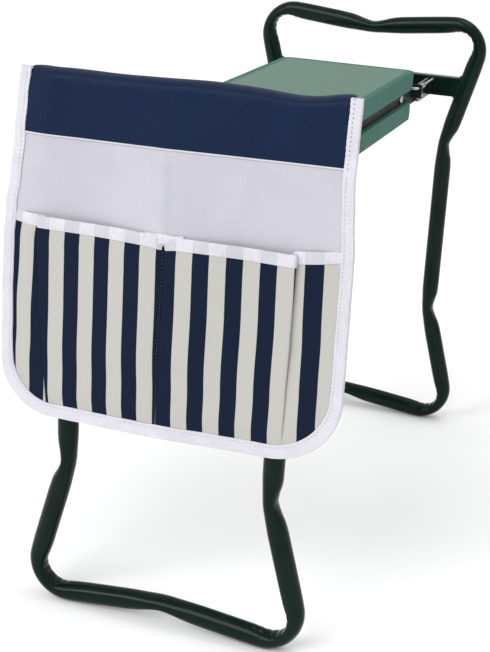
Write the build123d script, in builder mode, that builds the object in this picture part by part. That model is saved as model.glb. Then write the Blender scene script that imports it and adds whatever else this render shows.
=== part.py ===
"""Folding garden kneeler and seat with a slip-on tool pouch, in millimetres.

+X runs along the seat, +Y across it and +Z up. The origin lies on the floor under
the middle of the whole object. The left frame, at -X, carries the pouch.
"""
import os
from math import atan, cos, sin

from build123d import *

os.makedirs("parts", exist_ok=True)

# ---- tube frames ----
frame_spacing = 576.0        # between the planes of the two tube loops
loop_height = 490.0          # floor to the top of the handle
tube_diameter = 19.0
tube_wall = 1.2
corner_half_width = 135.0    # half width of a loop at the crossing of rail and leg lines
waist_half_width = 97.0      # half width between the upright middle runs
lower_bend_rise = 136.0      # bottom corner to the lower bend of a leg
upper_bend_drop = 140.0      # top corner to the upper bend of a leg
rail_dip = 14.0              # how far the middle of each rail bends into the loop
corner_radius = 28.0
leg_bend_radius = 60.0
rail_bend_radius = 80.0
drain_hole_diameter = 5.0

crossbar_height = 22.0
crossbar_depth = 12.0
crossbar_wall = 1.5
crossbar_edge = 1.5          # rounding of the crossbar's long edges
crossbar_lift = 1.0          # crossbar centre above the pivot

# ---- seat ----
handle_rise = 50.0           # top of the handle above the top of the sitting pad
seat_height = loop_height - handle_rise
pad_thickness = 19.0
pad_width = 152.0
pad_corner = 12.0
pad_edge = 1.5               # rounding of the pad's upper and lower edges
kneeling_pad_inset = 3.0     # how much each end of the lower pad stands back
pad_gap = 13.5               # between the two pads, where the rails show
sheet = 1.5                  # pressed steel of the pan and the base plate
rail_outer_half = 70.0
pad_overhang = 6.0           # foam past each end of the pan
pad_to_pivot = 33.0

# ---- pivots, one setback for each end so that the folded frames lie one over the other ----
right_pivot_setback = 57.5
nested_gap = 3.5             # air between the tubes of the two folded frames
left_pivot_setback = right_pivot_setback + tube_diameter + nested_gap
pivot_drop = 29.5            # pivots below the top of the sitting pad
pivot_height = seat_height - pivot_drop
pivot_diameter = 6.0
running_clearance = 0.05     # radial, round every pivot
play = 0.2                   # side play of a moving plate
ear_thickness = 2.5
ear_radius = 10.0
arm_drop = 10.0              # rail arm below the pivot
arm_rise = 6.5               # rail arm above the pivot
arm_nose = 9.0               # rail arm past the pivot
arm_low_chamfer = 5.0        # nose corners of the rail arm
arm_high_chamfer = 3.0
arm_step = 2.0               # the deep part of the rail runs this far past the pad
spacer_thickness = 1.3
spacer_radius = 7.0
bolt_head_radius = 5.25
bolt_head_height = 3.5
head_rounding = 0.6          # share of a head's height that is rounded over
socket_radius = 2.2
socket_depth = 1.5
nut_across_flats = 10.0
nut_height = 6.0
washer_thickness = 1.2
washer_radius = 6.2
bolt_stick_out = 1.0

# ---- tray screws ----
screw_diameter = 5.0
screw_head_radius = 4.6
screw_head_height = 2.6
cross_slot_length = 4.4
cross_slot_width = 0.9
cross_slot_depth = 1.2
screw_nut_across_flats = 8.0
screw_nut_height = 4.0
screw_from_pad_end = 38.0
tray_flange_height = 9.0
tray_clearance = 0.2

# ---- latches ----
latch_wire = 3.0
latch_bend_radius = 5.0
latch_rise = 8.5             # latch wires above the pivots
latch_height = pivot_height + latch_rise
latch_half_span = 77.5
latch_setback = 25.0         # hand bar of the latch, inwards from the pivot
latch_reach = 6.0            # how far the tips stand in the crossbar
latch_hole_clearance = 0.3
guide_thickness = 2.0
guide_clearance = 0.15
guide_gap = 0.5
guide_height = 14.5
guide_margin = 2.0           # steel of the guide above and beside the wire
spring_wire = 0.7
spring_radius = 2.2
spring_length = 19.5
spring_turns = 6
collar_radius = 2.8
collar_length = 2.0

# ---- pouch ----
cloth = 1.5
cloth_clearance = 0.5        # between cloth and the tube that it hangs on
pouch_top_half_width = 144.0
pouch_bottom_half_width = 153.0
pouch_drop = 303.0           # length of the whole pouch
pouch_corner_radius = 40.0
hood_depth = 50.0            # height of the sleeve over the handle
pocket_drop = 121.0          # pocket mouths below the top of the pouch
pocket_depth_top = 15.5
pocket_depth_bottom = 4.5
pocket_gap = 3.0             # between the two pockets, at the middle seam
binding_width = 12.0
binding_thickness = 1.0
pocket_edge_gap = 0.5        # between a pocket's seam and the binding beside it

# ---- worked out from the sizes above ----
tube_radius = tube_diameter / 2
pocket_proud = cloth_clearance + cloth + pocket_depth_top
pocket_inset = binding_width + pocket_edge_gap
mid_x = pocket_proud / 2     # middle of the frames: the pockets stand out at one end only
rail_slope = atan(rail_dip / corner_half_width)
foot_slope = atan((corner_half_width - waist_half_width) / lower_bend_rise)
head_slope = atan((corner_half_width - waist_half_width) / upper_bend_drop)


def corner_inset(leg_slope):
    """How far the rounded corner's centreline stays inside the crossing of its lines."""
    both = rail_slope + leg_slope
    return corner_radius * ((sin(rail_slope) + cos(leg_slope)) / cos(both) - 1)


foot_z = tube_radius - corner_inset(foot_slope)
head_z = loop_height - tube_radius + corner_inset(head_slope)
lower_bend_z = foot_z + lower_bend_rise
upper_bend_z = head_z - upper_bend_drop
pan_top = seat_height - pad_thickness
kneeling_pad_top = pan_top - pad_gap
screw_height = kneeling_pad_top + pad_gap / 2
rail_inner_half = rail_outer_half - sheet
ear_inner = rail_outer_half + spacer_thickness + play
ear_outer = ear_inner + ear_thickness
crossbar_z = pivot_height + crossbar_lift
leg_half_width = waist_half_width + (crossbar_z - upper_bend_z) / upper_bend_drop * (
    corner_half_width - waist_half_width)

ends = {
    "left": {"sign": -1, "setback": left_pivot_setback},
    "right": {"sign": 1, "setback": right_pivot_setback},
}
for end in ends.values():
    end["plane"] = mid_x + end["sign"] * frame_spacing / 2
    end["pivot"] = end["plane"] - end["sign"] * end["setback"]
    end["pad"] = end["pivot"] - end["sign"] * pad_to_pivot
    end["pan"] = end["pad"] - end["sign"] * pad_overhang
    end["bar"] = end["pivot"] - end["sign"] * latch_setback
    end["face"] = end["plane"] - end["sign"] * crossbar_depth / 2
    end["screw"] = end["pad"] - end["sign"] * screw_from_pad_end
    end["guide"] = end["bar"] + end["sign"] * (latch_bend_radius + guide_gap)


def finish(part, name):
    part.label = name
    export_step(part, f"parts/{name}.step")


def block(x_range, y_range, z_range, mode=Mode.ADD):
    """A box given by its low and high corners, in any order."""
    lows = [min(r) for r in (x_range, y_range, z_range)]
    sizes = [abs(r[1] - r[0]) for r in (x_range, y_range, z_range)]
    with Locations(tuple(low + size / 2 for low, size in zip(lows, sizes))):
        return Box(*sizes, mode=mode)


def cross_plane(x, y, z):
    """A plane facing +Y at a point, for shafts that run across the seat."""
    return Plane(origin=(x, y, z), x_dir=(1, 0, 0), z_dir=(0, 1, 0))


def along_plane(x, y, z):
    """A plane facing +X at a point, for rods that run along the seat."""
    return Plane(origin=(x, y, z), x_dir=(0, 1, 0), z_dir=(1, 0, 0))


# ---------------------------------------------------------------- tube loops
def loop_path(plane_x):
    """Closed centreline of a loop: dipped rails, rounded corners and waisted legs."""
    half = [
        (0, foot_z + rail_dip, rail_bend_radius),
        (corner_half_width, foot_z, corner_radius),
        (waist_half_width, lower_bend_z, leg_bend_radius),
        (waist_half_width, upper_bend_z, leg_bend_radius),
        (corner_half_width, head_z, corner_radius),
        (0, head_z - rail_dip, rail_bend_radius),
    ]
    other = [(-y, z, r) for y, z, r in reversed(half[1:-1])]
    points = half + other
    with BuildLine(Plane.YZ.offset(plane_x)) as path:
        FilletPolyline(*[(y, z) for y, z, _ in points], radius=[r for _, _, r in points], close=True)
    return path


def solid_loop(plane_x, radius):
    """A full round bar bent to the loop's path, used for the tube, its bore and coped ends."""
    path = loop_path(plane_x)
    start = path.line @ 0
    with BuildPart() as bar:
        with BuildSketch(Plane(origin=start, z_dir=path.line % 0)):
            Circle(radius)
        sweep(path=path.line)
    return bar.part


def tube_loop(name):
    plane_x = ends[name]["plane"]
    with BuildPart() as loop:
        add(solid_loop(plane_x, tube_radius))
        add(solid_loop(plane_x, tube_radius - tube_wall), mode=Mode.SUBTRACT)
        with Locations((plane_x, 0, foot_z + rail_dip - tube_radius)):
            Cylinder(drain_hole_diameter / 2, 2 * tube_radius, mode=Mode.SUBTRACT)
    finish(loop.part, f"{name}_loop")


def crossbar(name):
    end = ends[name]
    inner_height = crossbar_height - 2 * crossbar_wall
    inner_depth = crossbar_depth - 2 * crossbar_wall
    with BuildPart() as bar:
        with BuildSketch(cross_plane(end["plane"], 0, crossbar_z)):
            RectangleRounded(crossbar_depth, crossbar_height, crossbar_edge)
            Rectangle(inner_depth, inner_height, mode=Mode.SUBTRACT)
        extrude(amount=leg_half_width, both=True)
        add(solid_loop(end["plane"], tube_radius), mode=Mode.SUBTRACT)
        for side in (-1, 1):
            with BuildSketch(along_plane(end["face"], side * latch_half_span, latch_height)):
                Circle(latch_wire / 2 + latch_hole_clearance)
            extrude(amount=2 * crossbar_wall, both=True, mode=Mode.SUBTRACT)
    finish(bar.part, f"{name}_crossbar")


def hinge_ears(name):
    end = ends[name]
    with BuildPart() as ears:
        for side in (-1, 1):
            middle = (ear_inner + ear_outer) / 2
            with BuildSketch(cross_plane(end["pivot"], side * middle, pivot_height)):
                Circle(ear_radius)
                length = end["setback"] - crossbar_depth / 2
                with Locations((end["sign"] * length / 2, 0)):
                    Rectangle(length, 2 * ear_radius)
                Circle(pivot_diameter / 2 + running_clearance, mode=Mode.SUBTRACT)
            extrude(amount=ear_thickness / 2, both=True)
    finish(ears.part, f"{name}_hinge_ears")


# ---------------------------------------------------------------- seat
def foam_pad(name, top, inset):
    left = ends["left"]["pad"] + inset
    right = ends["right"]["pad"] - inset
    with BuildPart() as pad:
        with BuildSketch(Plane((((left + right) / 2), 0, top - pad_thickness))):
            RectangleRounded(right - left, pad_width, pad_corner)
        extrude(amount=pad_thickness)
        fillet(pad.faces().filter_by(Axis.Z).edges(), pad_edge)
    finish(pad.part, name)


def rail_arm(end):
    """Outline of a rail's arm past the pan, seen from the side, with a rounded nose."""
    sign = end["sign"]
    start = end["pan"] - sign * pad_overhang
    step = end["pad"] + sign * arm_step
    nose = end["pivot"] + sign * arm_nose
    low = pivot_height - arm_drop
    high = pivot_height + arm_rise
    return [
        (start, kneeling_pad_top), (step, kneeling_pad_top), (step, low),
        (nose - sign * arm_low_chamfer, low), (nose, low + arm_low_chamfer),
        (nose, high - arm_high_chamfer), (nose - sign * arm_high_chamfer, high),
        (start, high),
    ]


def seat_pan():
    left, right = ends["left"], ends["right"]
    guide_reach = latch_half_span + latch_wire / 2 + guide_margin
    guide_top = latch_height + latch_wire / 2 + guide_margin
    with BuildPart() as pan:
        block((left["pan"], right["pan"]), (-rail_outer_half, rail_outer_half), (pan_top - sheet, pan_top))
        for side in (-1, 1):
            walls = (side * rail_inner_half, side * rail_outer_half)
            block((left["pan"], right["pan"]), walls, (kneeling_pad_top, pan_top))
            middle = side * (rail_inner_half + rail_outer_half) / 2
            for end in ends.values():
                with BuildSketch(Plane(origin=(0, middle, 0), x_dir=(1, 0, 0), z_dir=(0, -1, 0))):
                    Polygon(*rail_arm(end), align=None)
                extrude(amount=sheet / 2, both=True)
                block(
                    (end["guide"], end["guide"] + end["sign"] * guide_thickness),
                    (side * rail_inner_half, side * guide_reach),
                    (guide_top - guide_height, guide_top))
                with BuildSketch(along_plane(end["guide"], side * latch_half_span, latch_height)):
                    Circle(latch_wire / 2 + guide_clearance)
                extrude(amount=2 * guide_thickness, both=True, mode=Mode.SUBTRACT)
                with BuildSketch(cross_plane(end["pivot"], middle, pivot_height)):
                    Circle(pivot_diameter / 2 + running_clearance)
                extrude(amount=sheet, both=True, mode=Mode.SUBTRACT)
                with BuildSketch(cross_plane(end["screw"], middle, screw_height)):
                    Circle(screw_diameter / 2 + running_clearance)
                extrude(amount=sheet, both=True, mode=Mode.SUBTRACT)
    finish(pan.part, "seat_pan")


def base_plate():
    half = rail_inner_half - tray_clearance
    left, right = ends["left"]["pan"], ends["right"]["pan"]
    with BuildPart() as plate:
        block((left, right), (-half, half), (kneeling_pad_top, kneeling_pad_top + sheet))
        for side in (-1, 1):
            flange_top = kneeling_pad_top + sheet + tray_flange_height
            block((left, right), (side * (half - sheet), side * half), (kneeling_pad_top, flange_top))
            for end in ends.values():
                with BuildSketch(cross_plane(end["screw"], side * half, screw_height)):
                    Circle(screw_diameter / 2 + running_clearance)
                extrude(amount=2 * sheet, both=True, mode=Mode.SUBTRACT)
    finish(plate.part, "base_plate")


# ---------------------------------------------------------------- fasteners
def four_places(x_of_end):
    """The four places of a fastener: a distance along the seat, and the side it is on."""
    return [(x_of_end(end), side) for end in ends.values() for side in (-1, 1)]


def stud(x, z, side, start, finish_at, radius):
    """A round bar across the seat between two distances from its middle."""
    with BuildSketch(cross_plane(x, side * start, z)) as section:
        Circle(radius)
    extrude(section.sketch, amount=side * (finish_at - start))


def pivot_bolts():
    inner_end = rail_inner_half - washer_thickness - nut_height - bolt_stick_out
    head_seat = ear_outer + play
    with BuildPart() as bolts:
        for x, side in four_places(lambda end: end["pivot"]):
            stud(x, pivot_height, side, inner_end, head_seat, pivot_diameter / 2)
            stud(x, pivot_height, side, head_seat, head_seat + bolt_head_height, bolt_head_radius)
        outer = head_seat + bolt_head_height
        rims = bolts.edges().filter_by(GeomType.CIRCLE).filter_by(
            lambda edge: abs(abs(edge.center().Y) - outer) < 0.01)
        fillet(rims, bolt_head_height * head_rounding)
        for x, side in four_places(lambda end: end["pivot"]):
            with BuildSketch(cross_plane(x, side * (outer - socket_depth), pivot_height)):
                RegularPolygon(socket_radius, 6)
            extrude(amount=side * 2 * socket_depth, mode=Mode.SUBTRACT)
    finish(bolts.part, "pivot_bolts")


def hex_nuts(name, x_of_end, z, outer_face, height, across_flats, bore):
    with BuildPart() as nuts:
        for x, side in four_places(x_of_end):
            with BuildSketch(cross_plane(x, side * outer_face, z)):
                RegularPolygon(across_flats / 2, 6, major_radius=False)
                Circle(bore, mode=Mode.SUBTRACT)
            extrude(amount=-side * height)
    finish(nuts.part, name)


def rings(name, z, inner_face, thickness, radius):
    with BuildPart() as washers:
        for x, side in four_places(lambda end: end["pivot"]):
            with BuildSketch(cross_plane(x, side * inner_face, z)):
                Circle(radius)
                Circle(pivot_diameter / 2 + running_clearance, mode=Mode.SUBTRACT)
            extrude(amount=side * thickness)
    finish(washers.part, name)


def tray_screws():
    z = screw_height
    inner_end = rail_inner_half - tray_clearance - sheet - screw_nut_height - bolt_stick_out
    with BuildPart() as screws:
        for x, side in four_places(lambda end: end["screw"]):
            stud(x, z, side, inner_end, rail_outer_half, screw_diameter / 2)
            stud(x, z, side, rail_outer_half, rail_outer_half + screw_head_height, screw_head_radius)
        outer = rail_outer_half + screw_head_height
        rims = screws.edges().filter_by(GeomType.CIRCLE).filter_by(
            lambda edge: abs(abs(edge.center().Y) - outer) < 0.01)
        fillet(rims, screw_head_height * head_rounding)
        for x, side in four_places(lambda end: end["screw"]):
            with BuildSketch(cross_plane(x, side * (outer - cross_slot_depth), z)):
                Rectangle(cross_slot_length, cross_slot_width)
                Rectangle(cross_slot_width, cross_slot_length)
            extrude(amount=side * 2 * cross_slot_depth, mode=Mode.SUBTRACT)
    finish(screws.part, "tray_screws")


# ---------------------------------------------------------------- latches
def latch_bail(name):
    """A U of wire: a hand bar across the seat, and two arms whose tips lock in the crossbar."""
    end = ends[name]
    sign = end["sign"]
    tip = end["face"] + sign * latch_reach
    collar_x = end["guide"] + sign * (guide_thickness + spring_length)
    with BuildPart() as bail:
        with BuildLine() as route:
            FilletPolyline(
                (tip, -latch_half_span, latch_height), (end["bar"], -latch_half_span, latch_height),
                (end["bar"], latch_half_span, latch_height), (tip, latch_half_span, latch_height),
                radius=latch_bend_radius)
        with BuildSketch(Plane(origin=route.line @ 0, z_dir=route.line % 0)):
            Circle(latch_wire / 2)
        sweep(path=route.line)
        for side in (-1, 1):
            with BuildSketch(along_plane(collar_x, side * latch_half_span, latch_height)):
                Circle(collar_radius)
            extrude(amount=sign * collar_length)
    finish(bail.part, f"{name}_latch_bail")


def latch_springs(name):
    end = ends[name]
    sign = end["sign"]
    start = end["guide"] + sign * guide_thickness
    coil_length = spring_length - spring_wire
    with BuildPart() as springs:
        for side in (-1, 1):
            centre = (start + sign * spring_wire / 2, side * latch_half_span, latch_height)
            with BuildLine() as coil:
                Helix(coil_length / spring_turns, coil_length, spring_radius, centre, (sign, 0, 0))
            with BuildSketch(Plane(origin=coil.line @ 0, z_dir=coil.line % 0)):
                Circle(spring_wire / 2)
            sweep(path=coil.line, is_frenet=True)
    finish(springs.part, f"{name}_latch_springs")


# ---------------------------------------------------------------- pouch
plane_left = ends["left"]["plane"]
panel_back = plane_left - tube_radius - cloth_clearance
panel_front = panel_back - cloth
hood_back = plane_left + tube_radius + cloth_clearance + cloth
hood_top = loop_height + cloth_clearance + cloth
hood_bottom = hood_top - hood_depth
pouch_bottom = hood_top - pouch_drop
pocket_top = hood_top - pocket_drop


def side_at(z):
    """Half width of the pouch at a height: it flares a little towards the bottom."""
    share = (hood_top - z) / (hood_top - pouch_bottom)
    return pouch_top_half_width + share * (pouch_bottom_half_width - pouch_top_half_width)


def cloth_panel(name, bottom, top, corner):
    with BuildPart() as panel:
        with BuildSketch(Plane.YZ.offset(panel_back)) as front:
            low, high = side_at(bottom), side_at(top)
            Polygon((-low, bottom), (low, bottom), (high, top), (-high, top), align=None)
            if corner:
                fillet(front.vertices().group_by(Axis.Y)[0], corner)
        extrude(amount=-cloth)
    finish(panel.part, name)


def hood():
    """The sleeve that slips over the handle: front band, fold and back flap, open below."""
    depth = hood_back - panel_front
    middle = (hood_back + panel_front) / 2
    half = pouch_top_half_width
    fold = depth / 2 - 0.5
    with BuildPart() as sleeve:
        with BuildSketch(Plane((middle, 0, 0), x_dir=(1, 0, 0), z_dir=(0, -1, 0))) as outer:
            with Locations((0, (hood_top + hood_bottom) / 2)):
                Rectangle(depth, hood_depth)
            fillet(outer.vertices().group_by(Axis.Y)[-1], fold)
        extrude(amount=half, both=True)
        with BuildSketch(Plane((middle, 0, 0), x_dir=(1, 0, 0), z_dir=(0, -1, 0))) as inner:
            with Locations((0, (hood_top + hood_bottom) / 2 - cloth)):
                Rectangle(depth - 2 * cloth, hood_depth)
            fillet(inner.vertices().group_by(Axis.Y)[-1], fold - cloth)
        extrude(amount=half - cloth, both=True, mode=Mode.SUBTRACT)
    finish(sleeve.part, "pouch_hood")


def pocket_block(side, wall, drop):
    """A pocket's wedge: deep at its mouth, shallow at its seam, thinned all round by a wall."""
    inner = pocket_gap / 2 + wall
    bottom = pouch_bottom + pocket_inset + wall
    low = side_at(bottom) - pocket_inset - wall
    high = side_at(pocket_top) - pocket_inset - wall
    reach = pocket_depth_top - wall
    with BuildPart() as wedge:
        with BuildSketch(Plane.YZ.offset(panel_front)) as face:
            Polygon(
                (side * inner, bottom), (side * low, bottom), (side * high, pocket_top + drop),
                (side * inner, pocket_top + drop), align=None)
            seam = face.vertices().group_by(Axis.Y)[0].sort_by(Axis.X)
            fillet(seam[-1 if side > 0 else 0], pouch_corner_radius - pocket_inset)
        extrude(amount=-reach)
        with BuildSketch(Plane.XZ):
            Polygon(
                (panel_front, bottom - 1), (panel_front - pocket_depth_bottom + wall, bottom - 1),
                (panel_front - reach, pocket_top), (panel_front - reach, pocket_top + drop + 1),
                (panel_front, pocket_top + drop + 1), align=None)
        extrude(amount=2 * pouch_bottom_half_width, both=True, mode=Mode.INTERSECT)
    return wedge.part


def pocket(name, side):
    with BuildPart() as bag:
        add(pocket_block(side, 0, 0))
        add(pocket_block(side, cloth, 1), mode=Mode.SUBTRACT)
    finish(bag.part, name)


def edge_binding():
    """White tape sewn round the sides and the bottom of the pouch, with a rim over the edge."""
    with BuildPart() as tape:
        with BuildSketch(Plane.YZ.offset(panel_back)) as face:
            low, high = side_at(pouch_bottom), side_at(hood_bottom)
            grow = binding_thickness
            Polygon(
                (-low - grow, pouch_bottom - grow), (low + grow, pouch_bottom - grow),
                (high + grow, hood_bottom), (-high - grow, hood_bottom), align=None)
            fillet(face.vertices().group_by(Axis.Y)[0], pouch_corner_radius + grow)
        extrude(amount=-(cloth + binding_thickness))
        with BuildSketch(Plane.YZ.offset(panel_back)) as hole:
            Polygon(
                (-low, pouch_bottom), (low, pouch_bottom), (high, hood_bottom), (-high, hood_bottom),
                align=None)
            fillet(hole.vertices().group_by(Axis.Y)[0], pouch_corner_radius)
        extrude(amount=-cloth, mode=Mode.SUBTRACT)
        with BuildSketch(Plane.YZ.offset(panel_front)) as window:
            inset = binding_width
            bottom = pouch_bottom + inset
            Polygon(
                (-side_at(bottom) + inset, bottom), (side_at(bottom) - inset, bottom),
                (high - inset, hood_bottom), (-high + inset, hood_bottom), align=None)
            fillet(window.vertices().group_by(Axis.Y)[0], pouch_corner_radius - inset)
        extrude(amount=-2 * binding_thickness, mode=Mode.SUBTRACT)
    finish(tape.part, "edge_binding")


for name in ends:
    tube_loop(name)
    crossbar(name)
    hinge_ears(name)
    latch_bail(name)
    latch_springs(name)

foam_pad("sitting_pad", seat_height, 0)
foam_pad("kneeling_pad", kneeling_pad_top, kneeling_pad_inset)
seat_pan()
base_plate()
pivot_bolts()
rings("pivot_spacers", pivot_height, rail_outer_half, spacer_thickness, spacer_radius)
rings("pivot_washers", pivot_height, rail_inner_half - washer_thickness, washer_thickness, washer_radius)
hex_nuts(
    "pivot_nuts", lambda end: end["pivot"], pivot_height, rail_inner_half - washer_thickness,
    nut_height, nut_across_flats, pivot_diameter / 2 + running_clearance)
tray_screws()
hex_nuts(
    "tray_nuts", lambda end: end["screw"], screw_height, rail_inner_half - tray_clearance - sheet,
    screw_nut_height, screw_nut_across_flats, screw_diameter / 2 + running_clearance)
hood()
cloth_panel("pouch_white_panel", pocket_top, hood_bottom, 0)
cloth_panel("pouch_back_panel", pouch_bottom, pocket_top, pouch_corner_radius)
pocket("left_pocket", 1)
pocket("right_pocket", -1)
edge_binding()
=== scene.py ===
import math

import bpy
from mathutils import Matrix, Vector, noise


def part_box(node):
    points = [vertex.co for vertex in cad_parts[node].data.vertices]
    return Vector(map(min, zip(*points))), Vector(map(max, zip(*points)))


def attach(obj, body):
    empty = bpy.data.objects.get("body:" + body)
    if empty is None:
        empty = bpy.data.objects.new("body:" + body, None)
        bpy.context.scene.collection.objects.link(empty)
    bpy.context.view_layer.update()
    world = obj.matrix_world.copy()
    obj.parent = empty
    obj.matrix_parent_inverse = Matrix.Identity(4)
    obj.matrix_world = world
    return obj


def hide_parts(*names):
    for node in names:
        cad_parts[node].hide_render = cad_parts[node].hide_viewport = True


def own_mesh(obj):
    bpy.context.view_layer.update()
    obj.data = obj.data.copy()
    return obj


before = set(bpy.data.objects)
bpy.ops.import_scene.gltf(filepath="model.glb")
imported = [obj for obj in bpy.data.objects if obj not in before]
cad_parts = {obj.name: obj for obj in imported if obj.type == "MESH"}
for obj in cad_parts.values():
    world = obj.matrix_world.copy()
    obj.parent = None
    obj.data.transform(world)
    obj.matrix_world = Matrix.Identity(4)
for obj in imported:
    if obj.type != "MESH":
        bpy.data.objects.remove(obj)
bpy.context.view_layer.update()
print("frame loaded")


def selectOnly(*pieces):
    bpy.ops.object.select_all(action="DESELECT")
    for piece in pieces:
        piece.select_set(True)
    bpy.context.view_layer.objects.active = pieces[0]


def applyModifier(piece, kind, **settings):
    selectOnly(piece)
    modifier = piece.modifiers.new(kind.lower(), kind)
    for key, value in settings.items():
        setattr(modifier, key, value)
    bpy.ops.object.modifier_apply(modifier=modifier.name)


def tidyMesh(piece, mergeDistance=1e-6):
    selectOnly(piece)
    bpy.ops.object.mode_set(mode="EDIT")
    bpy.ops.mesh.select_all(action="SELECT")
    bpy.ops.mesh.remove_doubles(threshold=mergeDistance)
    bpy.ops.mesh.normals_make_consistent(inside=False)
    bpy.ops.object.mode_set(mode="OBJECT")


def smoothShade(piece, degrees=40):
    selectOnly(piece)
    bpy.ops.object.shade_smooth_by_angle(angle=math.radians(degrees))


def blendStep(low, high, value):
    share = min(1.0, max(0.0, (value - low) / (high - low)))
    return share * share * (3 - 2 * share)


def mix(a, b, share):
    return a + (b - a) * share


def along(stops, at):
    # smooth value between a few (place, value) stops
    if at <= stops[0][0]:
        return stops[0][1]
    for (here, low), (there, high) in zip(stops, stops[1:]):
        if at <= there:
            return mix(low, high, blendStep(here, there, at))
    return stops[-1][1]


def skin(name, rows, rowClosed=False, loopClosed=False, uvs=None, capped=False):
    # a mesh from rows of points, each row joined to the next by a band of quads
    count, width = len(rows), len(rows[0])
    points = [tuple(point) for row in rows for point in row]
    faces = []
    for i in range(count if loopClosed else count - 1):
        nextRow = (i + 1) % count
        for j in range(width if rowClosed else width - 1):
            nextPoint = (j + 1) % width
            faces.append((i * width + j, i * width + nextPoint,
                          nextRow * width + nextPoint, nextRow * width + j))
    if capped:
        faces.append(tuple(range(width)))
        faces.append(tuple((count - 1) * width + j for j in reversed(range(width))))
    mesh = bpy.data.meshes.new(name)
    mesh.from_pydata(points, [], faces)
    if uvs:
        flat = [uv for row in uvs for uv in row]
        layer = mesh.uv_layers.new(name="cloth")
        for loop in mesh.loops:
            layer.data[loop.index].uv = flat[loop.vertex_index]
    piece = bpy.data.objects.new(name, mesh)
    bpy.context.scene.collection.objects.link(piece)
    selectOnly(piece)
    bpy.ops.object.mode_set(mode="EDIT")
    bpy.ops.mesh.select_all(action="SELECT")
    bpy.ops.mesh.normals_make_consistent(inside=False)
    bpy.ops.object.mode_set(mode="OBJECT")
    return piece


def circle(middle, across, up, radius, sides):
    # points round a circle that lies in the plane of across and up
    turns = [2 * math.pi * k / sides for k in range(sides)]
    return [middle + (across * math.cos(turn) + up * math.sin(turn)) * radius for turn in turns]


def evenly(low, high, count):
    return [mix(low, high, k / count) for k in range(count + 1)]


def finishPiece(piece, material, body, slotName, *nodes):
    piece.data.materials.clear()
    piece.data.materials.append(material)
    if nodes:
        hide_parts(*nodes)
    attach(piece, body)
    return piece


def addNode(tree, kind, place, settings=None, values=None):
    node = tree.nodes.new(kind)
    node.location = (place[0] * 200, place[1] * -180)
    for key, value in (settings or {}).items():
        setattr(node, key, value)
    for key, value in (values or {}).items():
        node.inputs[key].default_value = value
    return node


def newGroup(name, inputs, outputs):
    group = bpy.data.node_groups.new(name, "ShaderNodeTree")
    for label, kind, value in inputs:
        socket = group.interface.new_socket(name=label, in_out="INPUT", socket_type=kind)
        if value is not None:
            socket.default_value = value
    for label, kind in outputs:
        group.interface.new_socket(name=label, in_out="OUTPUT", socket_type=kind)
    entry = addNode(group, "NodeGroupInput", (0, 0))
    leave = addNode(group, "NodeGroupOutput", (7, 0))
    return group, entry, leave


def mathNode(tree, operation, place, first, second=None):
    node = addNode(tree, "ShaderNodeMath", place, {"operation": operation})
    for index, source in enumerate((first, second)):
        if source is None:
            continue
        if isinstance(source, (int, float)):
            node.inputs[index].default_value = source
        else:
            tree.links.new(source, node.inputs[index])
    return node.outputs[0]


def noiseNode(tree, place, vector, scale, detail=3.0, roughness=0.55):
    node = addNode(tree, "ShaderNodeTexNoise", place, None,
                   {"Scale": scale, "Detail": detail, "Roughness": roughness})
    tree.links.new(vector, node.inputs["Vector"])
    return node.outputs["Fac"]


def mapRange(tree, place, source, fromLow, fromHigh, toLow=0.0, toHigh=1.0):
    node = addNode(tree, "ShaderNodeMapRange", place, {"interpolation_type": "SMOOTHSTEP"},
                   {"From Min": fromLow, "From Max": fromHigh, "To Min": toLow, "To Max": toHigh})
    tree.links.new(source, node.inputs["Value"])
    return node.outputs["Result"]


def mixColour(tree, place, factor, first, second, kind="MIX"):
    node = addNode(tree, "ShaderNodeMix", place, {"data_type": "RGBA", "blend_type": kind})
    for label, source in (("Factor", factor), ("A", first), ("B", second)):
        socket = node.inputs[label]
        if isinstance(source, (int, float, tuple)):
            socket.default_value = source
        else:
            tree.links.new(source, socket)
    return node.outputs["Result"]


def buildGrainGroup():
    # two sizes of noise: a mask for colour, and a height for bump
    group, entry, leave = newGroup(
        "surfaceGrain",
        [("Vector", "NodeSocketVector", None), ("Fine Scale", "NodeSocketFloat", 900.0),
         ("Broad Scale", "NodeSocketFloat", 18.0)],
        [("Height", "NodeSocketFloat"), ("Drift", "NodeSocketFloat")])
    fine = addNode(group, "ShaderNodeTexNoise", (2, 0), None, {"Detail": 4.0, "Roughness": 0.6})
    broad = addNode(group, "ShaderNodeTexNoise", (2, 2), None, {"Detail": 3.0, "Roughness": 0.5})
    for node, label in ((fine, "Fine Scale"), (broad, "Broad Scale")):
        group.links.new(entry.outputs["Vector"], node.inputs["Vector"])
        group.links.new(entry.outputs[label], node.inputs["Scale"])
    group.links.new(fine.outputs["Fac"], leave.inputs["Height"])
    group.links.new(mapRange(group, (4, 2), broad.outputs["Fac"], 0.3, 0.7), leave.inputs["Drift"])
    return group


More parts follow.
